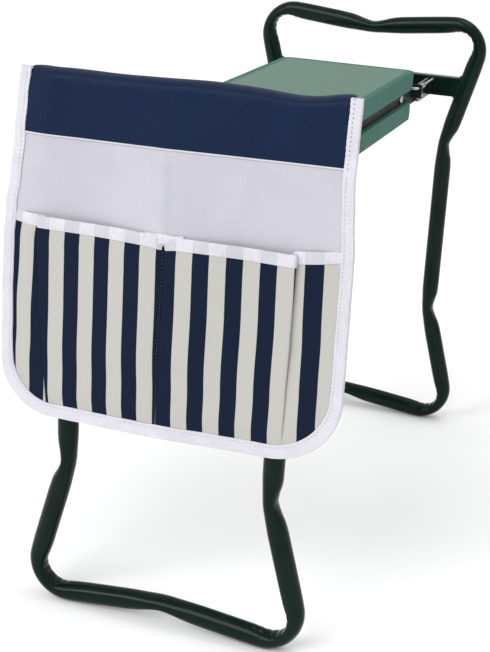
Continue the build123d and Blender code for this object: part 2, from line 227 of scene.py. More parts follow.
def buildWeaveGroup():
    # plain weave on flat cloth coordinates in metres: over and under threads
    group, entry, leave = newGroup(
        "plainWeave",
        [("Vector", "NodeSocketVector", None), ("Threads per Metre", "NodeSocketFloat", 1600.0),
         ("Unevenness", "NodeSocketFloat", 0.35)],
        [("Height", "NodeSocketFloat"), ("Thread Shade", "NodeSocketFloat")])
    parts = addNode(group, "ShaderNodeSeparateXYZ", (1, 0))
    group.links.new(entry.outputs["Vector"], parts.inputs[0])
    turns = mathNode(group, "MULTIPLY", (1, 2), entry.outputs["Threads per Metre"], math.pi)
    across = mathNode(group, "SINE", (3, 0), mathNode(group, "MULTIPLY", (2, 0), parts.outputs["X"], turns))
    down = mathNode(group, "SINE", (3, 1), mathNode(group, "MULTIPLY", (2, 1), parts.outputs["Y"], turns))
    cross = mathNode(group, "MULTIPLY", (4, 0), across, down)
    slub = noiseNode(group, (3, 3), entry.outputs["Vector"], 420.0, 4.0)
    rough = mathNode(group, "MULTIPLY", (4, 2), slub, entry.outputs["Unevenness"])
    group.links.new(mathNode(group, "ADD", (5, 0), mathNode(group, "MULTIPLY", (5, 1), cross, 0.5), rough),
                    leave.inputs["Height"])
    group.links.new(mapRange(group, (5, 3), slub, 0.25, 0.75), leave.inputs["Thread Shade"])
    return group


def buildStripeGroup():
    # 1 on the dark stripes and 0 on the pale ones, with edges as soft as a woven change of yarn
    group, entry, leave = newGroup(
        "wovenStripes",
        [("Vector", "NodeSocketVector", None), ("Stripe Width", "NodeSocketFloat", 0.0139)],
        [("Dark", "NodeSocketFloat")])
    parts = addNode(group, "ShaderNodeSeparateXYZ", (1, 0))
    group.links.new(entry.outputs["Vector"], parts.inputs[0])
    wobble = noiseNode(group, (1, 2), entry.outputs["Vector"], 1200.0, 2.0)
    shift = mathNode(group, "MULTIPLY", (2, 2), mathNode(group, "SUBTRACT", (2, 1), wobble, 0.5), 0.0004)
    place = mathNode(group, "ADD", (3, 0), parts.outputs["X"], shift)
    turns = mathNode(group, "DIVIDE", (4, 0), place, entry.outputs["Stripe Width"])
    wave = mathNode(group, "COSINE", (5, 0), mathNode(group, "MULTIPLY", (4, 1), turns, math.pi))
    group.links.new(mapRange(group, (6, 0), wave, -0.06, 0.06), leave.inputs["Dark"])
    return group


grainGroup = buildGrainGroup()
weaveGroup = buildWeaveGroup()
stripeGroup = buildStripeGroup()


def placeGroup(tree, group, place, vector, values=None):
    node = addNode(tree, "ShaderNodeGroup", place, {"node_tree": group}, None)
    for key, value in (values or {}).items():
        node.inputs[key].default_value = value
    tree.links.new(vector, node.inputs["Vector"])
    return node


def newMaterial(name, principled):
    material = bpy.data.materials.new(name)
    material.use_nodes = True
    tree = material.node_tree
    tree.nodes.clear()
    shader = addNode(tree, "ShaderNodeBsdfPrincipled", (8, 0), None, principled)
    result = addNode(tree, "ShaderNodeOutputMaterial", (10, 0))
    tree.links.new(shader.outputs[0], result.inputs["Surface"])
    coordinates = addNode(tree, "ShaderNodeTexCoord", (-2, 0))
    return material, tree, shader, coordinates


def placeGrain(tree, coordinates, place, fine, broad):
    return placeGroup(tree, grainGroup, place, coordinates.outputs["Object"],
                      {"Fine Scale": fine, "Broad Scale": broad})


def grainRoughness(tree, shader, grain, low, high, mask=("Height", 0.3, 0.7)):
    output, fromLow, fromHigh = mask
    tree.links.new(mapRange(tree, (5, 4), grain.outputs[output], fromLow, fromHigh, low, high),
                   shader.inputs["Roughness"])


def addBump(tree, shader, height, distance, strength=1.0):
    bump = addNode(tree, "ShaderNodeBump", (7, 3), None, {"Strength": strength, "Distance": distance})
    tree.links.new(height, bump.inputs["Height"])
    tree.links.new(bump.outputs["Normal"], shader.inputs["Normal"])


def grainedFinish(name):
    # a plain finish: two close colours that drift, a range of roughness and a fine bump
    look = plainLooks[name]
    material, tree, shader, coordinates = newMaterial(name, look["shader"])
    grain = placeGrain(tree, coordinates, (0, 0), *look["grain"])
    body = mixColour(tree, (3, 0), grain.outputs["Drift"], *look["colours"])
    if "scuff" in look:
        scuff = look["scuff"]
        scratch = noiseNode(tree, (1, 3), coordinates.outputs["Object"], scuff["scale"], 6.0, 0.75)
        worn = mapRange(tree, (3, 3), scratch, *scuff["between"])
        body = mixColour(tree, (5, 0), mathNode(tree, "MULTIPLY", (4, 3), worn, scuff["strength"]), body,
                         scuff["colour"])
    tree.links.new(body, shader.inputs["Base Color"])
    grainRoughness(tree, shader, grain, *look["roughness"], look["roughnessMask"])
    addBump(tree, shader, grain.outputs["Height"], *look["bump"])
    return material


plainLooks = {
    "framePaint": {
        "shader": {"IOR": 1.20, "Coat Weight": 0.04, "Coat Roughness": 0.05},
        "colours": ((0.0018, 0.0085, 0.0055, 1), (0.0030, 0.0140, 0.0092, 1)), "grain": (700.0, 22.0),
        "scuff": {"colour": (0.030, 0.048, 0.040, 1), "scale": 160.0, "between": (0.66, 0.76),
                  "strength": 0.35},
        "roughnessMask": ("Drift", 0.0, 1.0), "roughness": (0.12, 0.20), "bump": (0.00008, 0.25)},
    "railPaint": {
        "shader": {"IOR": 1.17},
        "colours": ((0.008, 0.0095, 0.0095, 1), (0.018, 0.020, 0.020, 1)), "grain": (1400.0, 30.0),
        "roughnessMask": ("Height", 0.3, 0.7), "roughness": (0.42, 0.58), "bump": (0.0001, 0.5)},
    "zincPlate": {
        "shader": {"Metallic": 1.0},
        "colours": ((0.62, 0.63, 0.64, 1), (0.42, 0.42, 0.41, 1)), "grain": (1800.0, 140.0),
        "roughnessMask": ("Drift", 0.0, 1.0), "roughness": (0.22, 0.4), "bump": (0.00005, 0.4)},
    "blackNylon": {
        "shader": {"Specular IOR Level": 0.5},
        "colours": ((0.014, 0.014, 0.015, 1), (0.03, 0.03, 0.031, 1)), "grain": (1100.0, 60.0),
        "roughnessMask": ("Height", 0.3, 0.7), "roughness": (0.38, 0.55), "bump": (0.0001, 0.4)},
}


def foamGreen():
    # one foam in two colours: the ribbed top is painted paler as painted light, the sides and underside
    # darker as painted shade; side and deep drift at random between two tones
    values = {"side": (0.044, 0.145, 0.110, 1), "deep": (0.038, 0.130, 0.098, 1),
              "litRibbedTop": (0.215, 0.325, 0.265, 1), "grooveShadeColour": (0.050, 0.098, 0.076, 1)}
    material, tree, shader, coordinates = newMaterial("foamGreen", {
        "Specular IOR Level": 0.15, "Sheen Weight": 0.03, "Sheen Roughness": 0.5})
    grain = placeGrain(tree, coordinates, (0, 0), 1500.0, 26.0)
    cells = addNode(tree, "ShaderNodeTexVoronoi", (0, 3), None, {"Scale": 2200.0})
    tree.links.new(coordinates.outputs["Object"], cells.inputs["Vector"])
    litTopMask = addNode(tree, "ShaderNodeAttribute", (0, 5), {"attribute_name": "litTopField"})
    body = mixColour(tree, (3, 0), grain.outputs["Drift"], values["deep"], values["side"])
    # painted shade darkens the grooves between the ribs
    grooveShades = addNode(tree, "ShaderNodeAttribute", (0, 7), {"attribute_name": "grooveShadeField"})
    withLitTop = mixColour(tree, (4, 0), litTopMask.outputs["Fac"], body, values["litRibbedTop"])
    grooveShaded = mixColour(tree, (5, 0), grooveShades.outputs["Fac"], withLitTop, values["grooveShadeColour"])
    pores = mapRange(tree, (3, 3), cells.outputs["Distance"], 0.05, 0.45, 0.82, 1.0)
    tree.links.new(mixColour(tree, (6, 0), 1.0, grooveShaded, pores, "MULTIPLY"), shader.inputs["Base Color"])
    grainRoughness(tree, shader, grain, 0.62, 0.82)
    cellHeight = mathNode(tree, "MULTIPLY", (4, 3), cells.outputs["Distance"], 0.7)
    height = mathNode(tree, "ADD", (5, 3), cellHeight, grain.outputs["Height"])
    addBump(tree, shader, height, 0.00022, 0.6)
    return material


def clothMaterial(name):
    # one colour of woven cloth; light and dark are its threads
    look = clothLooks[name]
    material, tree, shader, coordinates = newMaterial(name, {
        "Specular IOR Level": 0.1, "Sheen Weight": look["sheen"], "Sheen Roughness": 0.4})
    weave = placeGroup(tree, weaveGroup, (0, 0), coordinates.outputs["UV"],
                       {"Threads per Metre": look["threads"]})
    grain = placeGrain(tree, coordinates, (0, 3), 500.0, 16.0)
    threadMix = mixColour(tree, (3, 0), weave.outputs["Thread Shade"], look["dark"], look["light"])
    shade = mapRange(tree, (3, 3), grain.outputs["Drift"], 0.0, 1.0, 0.93, 1.0)
    tree.links.new(mixColour(tree, (5, 0), 1.0, threadMix, shade, "MULTIPLY"), shader.inputs["Base Color"])
    grainRoughness(tree, shader, grain, look["roughness"] - 0.06, look["roughness"] + 0.06)
    addBump(tree, shader, weave.outputs["Height"], look["bump"], 0.6)
    return material


clothLooks = {
    "navyCloth": {"light": (0.0065, 0.018, 0.056, 1), "dark": (0.0035, 0.011, 0.036, 1),
                  "threads": 1900.0, "bump": 0.00006, "sheen": 0.0, "roughness": 0.48},
    "whiteCloth": {"light": (0.515, 0.51, 0.575, 1), "dark": (0.485, 0.48, 0.542, 1),
                   "threads": 1900.0, "bump": 0.00006, "sheen": 0.02, "roughness": 0.6},
    "whiteThread": {"light": (0.62, 0.61, 0.65, 1), "dark": (0.50, 0.49, 0.53, 1),
                    "threads": 3000.0, "bump": 0.00005, "sheen": 0.05, "roughness": 0.6},
    "greyThread": {"light": (0.30, 0.29, 0.29, 1), "dark": (0.20, 0.19, 0.19, 1),
                   "threads": 3000.0, "bump": 0.00005, "sheen": 0.05, "roughness": 0.6},
    "navyThread": {"light": (0.05, 0.055, 0.075, 1), "dark": (0.02, 0.022, 0.03, 1),
                   "threads": 3000.0, "bump": 0.00005, "sheen": 0.05, "roughness": 0.5},
}


def stripeCloth():
    values = {"navy": (0.0035, 0.0085, 0.026, 1), "navyLight": (0.014, 0.026, 0.052, 1),
              "cream": (0.450, 0.440, 0.410, 1), "creamLight": (0.478, 0.468, 0.437, 1)}
    material, tree, shader, coordinates = newMaterial("stripeCloth", {
        "Specular IOR Level": 0.1, "Sheen Weight": 0.0, "Sheen Roughness": 0.5})
    stripes = placeGroup(tree, stripeGroup, (0, 0), coordinates.outputs["UV"])
    weave = placeGroup(tree, weaveGroup, (0, 2), coordinates.outputs["UV"], {"Threads per Metre": 1500.0})
    grain = placeGrain(tree, coordinates, (0, 4), 1600.0, 14.0)
    speckle = mapRange(tree, (2, 4), grain.outputs["Height"], 0.52, 0.66)
    navy = mixColour(tree, (3, 2), speckle, values["navy"], values["navyLight"])
    cream = mixColour(tree, (3, 0), weave.outputs["Thread Shade"], values["cream"], values["creamLight"])
    tree.links.new(mixColour(tree, (5, 0), stripes.outputs["Dark"], cream, navy), shader.inputs["Base Color"])
    grainRoughness(tree, shader, grain, 0.7, 0.84)
    addBump(tree, shader, weave.outputs["Height"], 0.00012, 0.6)
    return material


def whiteTape(name, stripeShade):
    # ribbed tape; where it crosses dark stripes they show through a little
    values = {"white": (0.66, 0.65, 0.70, 1), "rib": (0.585, 0.575, 0.63, 1),
              "through": (0.465, 0.46, 0.51, 1)}
    material, tree, shader, coordinates = newMaterial(name, {
        "Specular IOR Level": 0.15, "Sheen Weight": 0.05, "Sheen Roughness": 0.5})
    weave = placeGroup(tree, weaveGroup, (0, 0), coordinates.outputs["UV"], {"Threads per Metre": 1100.0})
    grain = placeGrain(tree, coordinates, (0, 3), 600.0, 45.0)
    body = mixColour(tree, (3, 0), weave.outputs["Thread Shade"], values["rib"], values["white"])
    if stripeShade:
        stripes = placeGroup(tree, stripeGroup, (0, 5), coordinates.outputs["UV"])
        shown = mathNode(tree, "MULTIPLY", (3, 5), stripes.outputs["Dark"], stripeShade)
        body = mixColour(tree, (4, 0), shown, body, values["through"])
    shade = mapRange(tree, (3, 3), grain.outputs["Drift"], 0.0, 1.0, 0.94, 1.0)
    tree.links.new(mixColour(tree, (5, 0), 1.0, body, shade, "MULTIPLY"), shader.inputs["Base Color"])
    grainRoughness(tree, shader, grain, 0.62, 0.76)
    addBump(tree, shader, weave.outputs["Height"], 0.00018, 0.7)
    return material


paint = grainedFinish("framePaint")
darkPaint = grainedFinish("railPaint")
zinc = grainedFinish("zincPlate")
nylon = grainedFinish("blackNylon")
foam = foamGreen()
navyCloth = clothMaterial("navyCloth")
whiteCloth = clothMaterial("whiteCloth")
thread = clothMaterial("whiteThread")
greyThread = clothMaterial("greyThread")
darkThread = clothMaterial("navyThread")
stripes = stripeCloth()
tape = whiteTape("whiteTape", 0.0)
mouthTape = whiteTape("whiteTapeOverStripes", 0.55)
print("materials made")


keptNodes = {
    "left_crossbar": paint, "right_crossbar": paint, "left_hinge_ears": paint, "right_hinge_ears": paint,
    "seat_pan": darkPaint, "base_plate": darkPaint,
    "left_latch_bail": zinc, "right_latch_bail": zinc, "pivot_bolts": zinc, "pivot_washers": zinc,
    "pivot_nuts": zinc, "tray_screws": zinc, "tray_nuts": zinc, "pivot_spacers": nylon,
}
for nodeName, finish in keptNodes.items():
    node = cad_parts[nodeName]
    for slotIndex in range(len(node.material_slots)):
        node.material_slots[slotIndex].material = finish
print("kept pieces painted")


tube = {
    "sides": 28, "cornerHalf": 0.135, "waistHalf": 0.097, "lowerRise": 0.136, "upperDrop": 0.140,
    "railDip": 0.014, "straightStep": 0.012, "bendStep": 0.0014, "widening": 0.3, "dentFocus": 1.3,
}
# how each kind of bend is bent and crushed: flattened across, dented on its inner side, wrinkled there
crush = {
    "corner": {"bend": 0.028, "reach": 0.018, "flatten": 0.16, "dent": 0.38, "wrinkle": 0.040,
               "wrinkleLength": 0.0080},
    "leg": {"bend": 0.060, "reach": 0.024, "flatten": 0.15, "dent": 0.34, "wrinkle": 0.016,
            "wrinkleLength": 0.0125},
    "rail": {"bend": 0.080, "reach": 0.032, "flatten": 0.15, "dent": 0.32, "wrinkle": 0.012,
             "wrinkleLength": 0.0145},
}


def filletBend(before, corner, after, radius):
    # where the arc of a rounded corner starts and ends, its centre and its turn
    incoming = (corner - before).normalized()
    outgoing = (after - corner).normalized()
    turn = math.atan2(incoming.x * outgoing.y - incoming.y * outgoing.x, incoming.dot(outgoing))
    reach = radius * math.tan(abs(turn) / 2)
    start = corner - incoming * reach
    side = Vector((-incoming.y, incoming.x)) * math.copysign(1, turn)
    return start, start + side * radius, turn, corner + outgoing * reach


def bentRoute(corners):
    # points of a closed route with rounded corners: place, direction, and the bend nearest to it
    count = len(corners)
    bends = []
    for i, (place, kind) in enumerate(corners):
        radius = crush[kind]["bend"]
        start, centre, turn, end = filletBend(corners[i - 1][0], place, corners[(i + 1) % count][0], radius)
        bends.append({"start": start, "centre": centre, "turn": turn, "end": end, "radius": radius,
                      "kind": kind})
    route = []
    for i, bend in enumerate(bends):
        steps = max(4, round(abs(bend["turn"]) * bend["radius"] / tube["bendStep"]))
        for k in range(steps):
            angle = bend["turn"] * k / steps
            spoke = bend["start"] - bend["centre"]
            spoke.rotate(Matrix.Rotation(angle, 2))
            away = bend["turn"] * (k / steps - 0.5) * bend["radius"]
            left = -spoke.normalized() * math.copysign(1, bend["turn"])
            route.append({"place": bend["centre"] + spoke, "left": left, "bend": bend, "away": abs(away)})
        after = bends[(i + 1) % count]
        run = after["start"] - bend["end"]
        length = run.length
        middleOut = abs(bend["turn"]) * bend["radius"] / 2
        middleIn = abs(after["turn"]) * after["radius"] / 2
        left = Vector((-run.y, run.x)).normalized()
        travelled = 0.0
        while travelled < length - tube["straightStep"] * 0.2:
            if travelled < length / 2:
                owner, away = bend, middleOut + travelled
            else:
                owner, away = after, middleIn + length - travelled
            route.append({"place": bend["end"] + run * (travelled / length), "left": left, "bend": owner,
                          "away": away})
            nearBend = (travelled < crush[bend["kind"]]["reach"]
                        or length - travelled < crush[after["kind"]]["reach"])
            travelled += tube["bendStep"] if nearBend else tube["straightStep"]
    return route


def crushAmount(point):
    bend = point["bend"]
    reach = abs(bend["turn"]) * bend["radius"] / 2 + crush[bend["kind"]]["reach"]
    if point["away"] >= reach:
        return 0.0
    return 0.5 + 0.5 * math.cos(math.pi * point["away"] / reach)


def tubeSection(point, radius, planeX):
    # one ring of the tube, flattened and dented where it is bent
    style = crush[point["bend"]["kind"]]
    amount = crushAmount(point)
    ripple = math.cos(2 * math.pi * point["away"] / style["wrinkleLength"])
    innerSide = math.copysign(1, point["bend"]["turn"])
    ring = []
    for k in range(tube["sides"]):
        angle = 2 * math.pi * k / tube["sides"]
        inPlane, across = math.cos(angle), math.sin(angle)
        inner = max(0.0, inPlane * innerSide) ** tube["dentFocus"]
        dent = innerSide * amount * inner * (style["dent"] * amount + style["wrinkle"] * ripple)
        reachIn = radius * inPlane * (1 - style["flatten"] * amount) - radius * dent
        reachAcross = radius * across * (1 + tube["widening"] * style["flatten"] * amount)
        spot = point["place"] + point["left"] * reachIn
        ring.append((planeX + reachAcross, spot.x, spot.y))
    return ring


def tubeLoop(name, node, body):
    low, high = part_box(node)
    radius = (high.x - low.x) / 2
    planeX = (high.x + low.x) / 2
    footZ = low.z + radius
    headZ = high.z - radius
    half = [
        (0, footZ + tube["railDip"], "rail"), (tube["cornerHalf"], footZ, "corner"),
        (tube["waistHalf"], footZ + tube["lowerRise"], "leg"),
        (tube["waistHalf"], headZ - tube["upperDrop"], "leg"),
        (tube["cornerHalf"], headZ, "corner"), (0, headZ - tube["railDip"], "rail"),
    ]
    bothHalves = half + [(-y, z, kind) for y, z, kind in reversed(half[1:-1])]
    corners = [(Vector((y, z)), kind) for y, z, kind in bothHalves]
    middle = (low.z + high.z) / 2
    for _ in range(3):
        # rounded corners sit inside their crossings, so the crossings move out until the tube fits its box
        route = bentRoute(corners)
        drop = min(point["place"].y for point in route) - footZ
        rise = headZ - max(point["place"].y for point in route)
        corners = [(Vector((spot.x, spot.y - drop if spot.y < middle else spot.y + rise)), kind)
                   for spot, kind in corners]
    rows = [tubeSection(point, radius, planeX) for point in route]
    # crushing took a little off the top and bottom, so the loop is eased back to its full height
    foot, head = (pick(spot[2] for row in rows for spot in row) for pick in (min, max))
    stretch = (high.z - low.z) / (head - foot)
    rows = [[(x, y, low.z + (z - foot) * stretch) for x, y, z in row] for row in rows]
    piece = skin(name, rows, rowClosed=True, loopClosed=True)
    tidyMesh(piece, 1e-5)
    smoothShade(piece, 60)
    return finishPiece(piece, paint, body, "frame_paint", node)


tubeLoop("leftTubeLoop", "left_loop", "left_frame")
tubeLoop("rightTubeLoop", "right_loop", "right_frame")
print("tube frames bent")


weld = {
    "bead": 0.0019, "ripple": 0.11, "rippleLength": 0.0028, "unevenness": 0.25, "step": 0.0009, "sides": 8,
    "routeStep": 0.001, "barCorner": 0.0015, "plateCorner": 0.0004, "plateThickness": 0.0025,
    "plateRise": 0.0012, "bendLift": 0.0044,
}


def weldBead(name, route, body):
    # a rippled bead laid along a closed route of points
    length = sum((b - a).length for a, b in zip(route, route[1:] + route[:1]))
    count = round(length / weld["step"])
    spaced = []
    gone, index = 0.0, 0
    for k in range(count):
        target = length * k / count
        a, b = route[index], route[(index + 1) % len(route)]
        while gone + (b - a).length < target and index < len(route) - 1:
            gone += (b - a).length
            index += 1
            a, b = route[index], route[(index + 1) % len(route)]
        spaced.append(a + (b - a) * min(1.0, (target - gone) / max((b - a).length, 1e-9)))
    rows = []
    for k, place in enumerate(spaced):
        ahead = (spaced[(k + 1) % count] - spaced[k - 1]).normalized()
        side = ahead.orthogonal().normalized()
        up = ahead.cross(side)
        if abs(up.x) > abs(side.x):
            side, up = up, -side
        wave = math.cos(2 * math.pi * k * weld["step"] / weld["rippleLength"])
        uneven = noise.noise(place * 300)
        size = weld["bead"] * (1 + weld["ripple"] * wave + weld["unevenness"] * uneven)
        rows.append(circle(place, side, up, size, weld["sides"]))
    piece = skin(name, rows, rowClosed=True, loopClosed=True)
    tidyMesh(piece)
    smoothShade(piece, 80)
    return finishPiece(piece, paint, body, "frame_paint")


def rectangleRoute(low, high, corner, steps=4):
    # a rounded rectangle, as (u, v) pairs
    route = []
    left, right, foot, head = low[0] + corner, high[0] - corner, low[1] + corner, high[1] - corner
    for u, v, start in ((right, head, 0), (left, head, 90), (left, foot, 180), (right, foot, 270)):
        for k in range(steps + 1):
            angle = math.radians(start + 90 * k / steps)
            route.append((u + corner * math.cos(angle), v + corner * math.sin(angle)))
    dense = []
    for (u0, v0), (u1, v1) in zip(route, route[1:] + route[:1]):
        parts = max(1, round(math.hypot(u1 - u0, v1 - v0) / weld["routeStep"]))
        dense += [(mix(u0, u1, k / parts), mix(v0, v1, k / parts)) for k in range(parts)]
    return dense


def frameWelds(side, body):
    barLow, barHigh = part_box(f"{side}_crossbar")
    loopLow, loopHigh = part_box(f"{side}_loop")
    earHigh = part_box(f"{side}_hinge_ears")[1]
    radius = (loopHigh.x - loopLow.x) / 2
    planeX = (loopHigh.x + loopLow.x) / 2
    bendZ = loopHigh.z - radius - tube["upperDrop"] + weld["bendLift"]
    lean = (tube["cornerHalf"] - tube["waistHalf"]) / tube["upperDrop"]
    outline = rectangleRoute((barLow.x, barLow.z), (barHigh.x, barHigh.z), weld["barCorner"])
    plateFoot = (earHigh.y - weld["plateThickness"], barLow.z + weld["plateRise"])
    plate = rectangleRoute(plateFoot, (earHigh.y, earHigh.z), weld["plateCorner"])
    face = barHigh.x if side == "left" else barLow.x
    for sign, hand in ((1, "Far"), (-1, "Near")):
        route = []
        for x, z in outline:
            reach = math.sqrt(max(radius ** 2 - (x - planeX) ** 2, 0)) / math.cos(math.atan(lean))
            legMiddle = tube["waistHalf"] + (z - bendZ) * lean
            route.append(Vector((x, sign * (legMiddle - reach), z)))
        weldBead(f"{side}LegWeld{hand}", route, body)
        weldBead(f"{side}EarWeld{hand}", [Vector((face, sign * u, v)) for u, v in plate], body)


frameWelds("left", "left_frame")
frameWelds("right", "right_frame")
print("welds laid")


pad = {
    "corner": 0.012, "border": 0.0072, "borderSoftness": 0.0010, "ribPitch": 0.0030, "ribDepth": 0.0009,
    "samplesPerRib": 6, "edge": 0.0016, "sideCuts": 5, "waviness": 0.00035, "bulge": 0.0004,
    "wallReach": 0.002, "bodyStep": 0.012, "sideStops": [0, 0.0022, 0.0044, 0.0062],
    "endStops": [0, 0.0008, 0.0022, 0.004, 0.0058, 0.0066, 0.0071, 0.0076, 0.0081, 0.0090, 0.0105, 0.012,
                 0.02],
}


def spreadFromEdge(length, edgeStops, step):
    # places across a length: close together near both ends, evenly spaced between
    inner = edgeStops[-1]
    count = max(2, round((length - 2 * inner) / step))
    middle = [inner + (length - 2 * inner) * k / count for k in range(1, count)]
    return edgeStops + middle + [length - stop for stop in reversed(edgeStops)]


def roundedInset(x, y, halfLength, halfWidth, corner):
    # distance inwards from a rounded rectangle's outline
    dx, dy = abs(x) - (halfLength - corner), abs(y) - (halfWidth - corner)
    outside = math.hypot(max(dx, 0), max(dy, 0))
    return corner - (outside + min(max(dx, dy), 0))


def foamPad(name, node, ribsUp):
    low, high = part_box(node)
    length, width, thickness = high.x - low.x, high.y - low.y, high.z - low.z
    centre = (low + high) / 2
    xs = spreadFromEdge(length, pad["endStops"], pad["bodyStep"])
    ys = spreadFromEdge(width, pad["sideStops"], pad["ribPitch"] / pad["samplesPerRib"])
    bpy.ops.object.select_all(action="DESELECT")
    bpy.ops.mesh.primitive_grid_add(x_subdivisions=len(xs) - 1, y_subdivisions=len(ys) - 1, size=1)
    piece = bpy.context.object
    piece.name = name
    halfLength, halfWidth, corner = length / 2, width / 2, pad["corner"]
    for vertex in piece.data.vertices:
        x = xs[round((vertex.co.x + 0.5) * (len(xs) - 1))] - halfLength
        y = ys[round((vertex.co.y + 0.5) * (len(ys) - 1))] - halfWidth
        fromEnd = halfLength - abs(x)
        if fromEnd < corner and abs(y) > halfWidth - corner:
            reach = math.sqrt(corner ** 2 - (corner - fromEnd) ** 2)
            y = math.copysign(halfWidth - corner + (abs(y) - halfWidth + corner) * reach / corner, y)
        vertex.co = (x, y, thickness / 2)
    tidyMesh(piece, 2e-5)
    applyModifier(piece, "SOLIDIFY", thickness=thickness, offset=-1)
    # cut the walls into bands, so that they can bulge a little
    bpy.ops.object.mode_set(mode="EDIT")
    for k in range(1, pad["sideCuts"] + 1):
        bpy.ops.mesh.select_all(action="SELECT")
        height = -thickness / 2 + thickness * k / (pad["sideCuts"] + 1)
        bpy.ops.mesh.bisect(plane_co=(0, 0, height), plane_no=(0, 0, 1))
    bpy.ops.object.mode_set(mode="OBJECT")
    applyModifier(piece, "BEVEL", width=pad["edge"], segments=4, limit_method="ANGLE",
                  angle_limit=math.radians(50))
    piece.data.attributes.new("litTopField", "FLOAT", "POINT")
    piece.data.attributes.new("grooveShadeField", "FLOAT", "POINT")
    litTopShares, grooveShades = [], []
    for vertex in piece.data.vertices:
        x, y, z = vertex.co
        inset = roundedInset(x, y, halfLength, halfWidth, corner)
        field = blendStep(pad["border"] - pad["borderSoftness"], pad["border"] + pad["borderSoftness"],
                          inset)
        # the ribbed top is marked for the paler colour, painted light for the light falling on it
        onRibs = field if z > thickness / 2 - 1e-5 else 0.0
        litTopShares.append(onRibs)
        ridge = 0.5 + 0.5 * math.cos(2 * math.pi * y / pad["ribPitch"])
        sink = pad["ribDepth"] * onRibs * (1 - ridge ** 0.8)
        # painted shade for the grooves between the ribs, strongest at the bottom of each groove
        grooveShades.append(onRibs * (1 - ridge) ** 1.5)
        wall = blendStep(pad["wallReach"], 0.0, inset)
        drift = noise.noise(Vector((x * 22, y * 22, z * 60 + (3.0 if ribsUp else 9.0))))
        bulge = wall * (pad["bulge"] * math.cos(math.pi * z / thickness) + pad["waviness"] * drift)
        outward = Vector((x / halfLength, y / halfWidth, 0)).normalized() if wall else Vector((0, 0, 0))
        vertex.co = vertex.co + outward * (bulge - pad["bulge"] * wall)
        vertex.co.z += -sink + pad["waviness"] * 0.6 * drift * (1 - wall)
    piece.data.attributes["litTopField"].data.foreach_set("value", litTopShares)
    piece.data.attributes["grooveShadeField"].data.foreach_set("value", grooveShades)
    if not ribsUp:
        for vertex in piece.data.vertices:
            vertex.co = (vertex.co.x, -vertex.co.y, -vertex.co.z)
    piece.data.transform(Matrix.Translation(centre))
    smoothShade(piece, 50)
    return finishPiece(piece, foam, "seat", "foam_green", node)


foamPad("sittingPadFoam", "sitting_pad", True)
foamPad("kneelingPadFoam", "kneeling_pad", False)
print("foam pads cut and ribbed")


spring = {"turns": 6, "wire": 0.00035, "coil": 0.0022, "closing": 0.45, "stepsPerTurn": 20, "sides": 8,
          "travelLeft": 0.59}


def latchCoils(side, sign):
    # two wire coils, one on each arm of the latch, between the guide and the collar
    low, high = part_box(f"{side}_latch_springs")
    bailLow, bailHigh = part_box(f"{side}_latch_bail")
    length = high.x - low.x - 2 * spring["wire"]
    start = low.x + spring["wire"] if sign > 0 else high.x - spring["wire"]
    armZ = (bailLow.z + bailHigh.z) / 2
    armY = (high.y - low.y) / 2 - spring["coil"] - spring["wire"]
    advance = sign * length / (2 * math.pi * spring["turns"] * spring["coil"])
    count = spring["turns"] * spring["stepsPerTurn"]
    coils = []
    for hand in (1, -1):
        rows = []
        for k in range(count + 1):
            share = k / count
            # the first and last turns are closed, so the pitch opens up between them
            pitchShare = mix(share, blendStep(0.0, 1.0, share), spring["closing"])
            angle = 2 * math.pi * spring["turns"] * share
            middle = Vector((start + sign * length * pitchShare, hand * armY, armZ))
            spoke = Vector((0, math.cos(angle), math.sin(angle)))
            forward = Vector((advance, -math.sin(angle), math.cos(angle))).normalized()
            rows.append(circle(middle + spoke * spring["coil"], spoke, forward.cross(spoke).normalized(),
                               spring["wire"], spring["sides"]))
        coils.append(skin(f"{side}Coil{hand}", rows, rowClosed=True, capped=True))
    selectOnly(*coils)
    bpy.ops.object.join()
    piece = bpy.context.object
    piece.name = f"{side}LatchCoils"
    tidyMesh(piece)
    smoothShade(piece, 60)
    finishPiece(piece, zinc, "seat", "zinc", f"{side}_latch_springs")
    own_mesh(piece)
    return piece


latchCoils("left", -1)
latchCoils("right", 1)
print("latch coils wound")


pouch = {
    "frontX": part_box("pouch_back_panel")[0].x, "backFlapX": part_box("pouch_hood")[1].x,
    "cloth": 0.0008, "halfWidth": 0.150,
    "top": 0.4945, "seam": 0.4420, "mouth": 0.3702, "bottom": 0.1892, "whiteFoot": 0.3625,
    "leftCorner": 0.048, "rightCorner": 0.060,
    "centreSeam": [(0.200, 0.0073), (0.242, 0.0059), (0.316, 0.0035), (0.364, 0.0029)],
    "leftSide": [(0.190, 0.1550), (0.240, 0.1550), (0.300, 0.1540), (0.345, 0.1525), (0.375, 0.1500),
                 (0.400, 0.1458), (0.440, 0.1415), (0.470, 0.1382), (0.497, 0.1350)],
    "rightSide": [(0.190, -0.1550), (0.300, -0.1550), (0.372, -0.1545), (0.400, -0.1525), (0.430, -0.1508),
                  (0.497, -0.1520)],
    "tilt": [(0.190, 0.014), (0.280, 0.006), (0.350, 0.0), (0.380, 0.0), (0.442, 0.017), (0.497, 0.020)],
}
# how the cloth hangs: depths of its bow, waves, creases and rolled edge
drape = {
    "bow": 0.0105, "bowMiddle": 0.004, "bowWidth": 0.055,
    "bowAlong": [(0.19, 0.22), (0.30, 0.85), (0.365, 1.0), (0.442, 0.22), (0.485, 0.0)],
    "footWave": 0.0011, "cornerCurl": 0.0016, "crease": 0.0019, "fold": 0.0016, "bandRipple": 0.0010,
    "hoodWave": 0.0009, "hoodRipple": 0.0007, "clearance": 0.0003, "rollAside": 0.0035, "rollBack": 0.0065,
}


def hump(value, middle, width):
    return math.exp(-((value - middle) / width) ** 2)


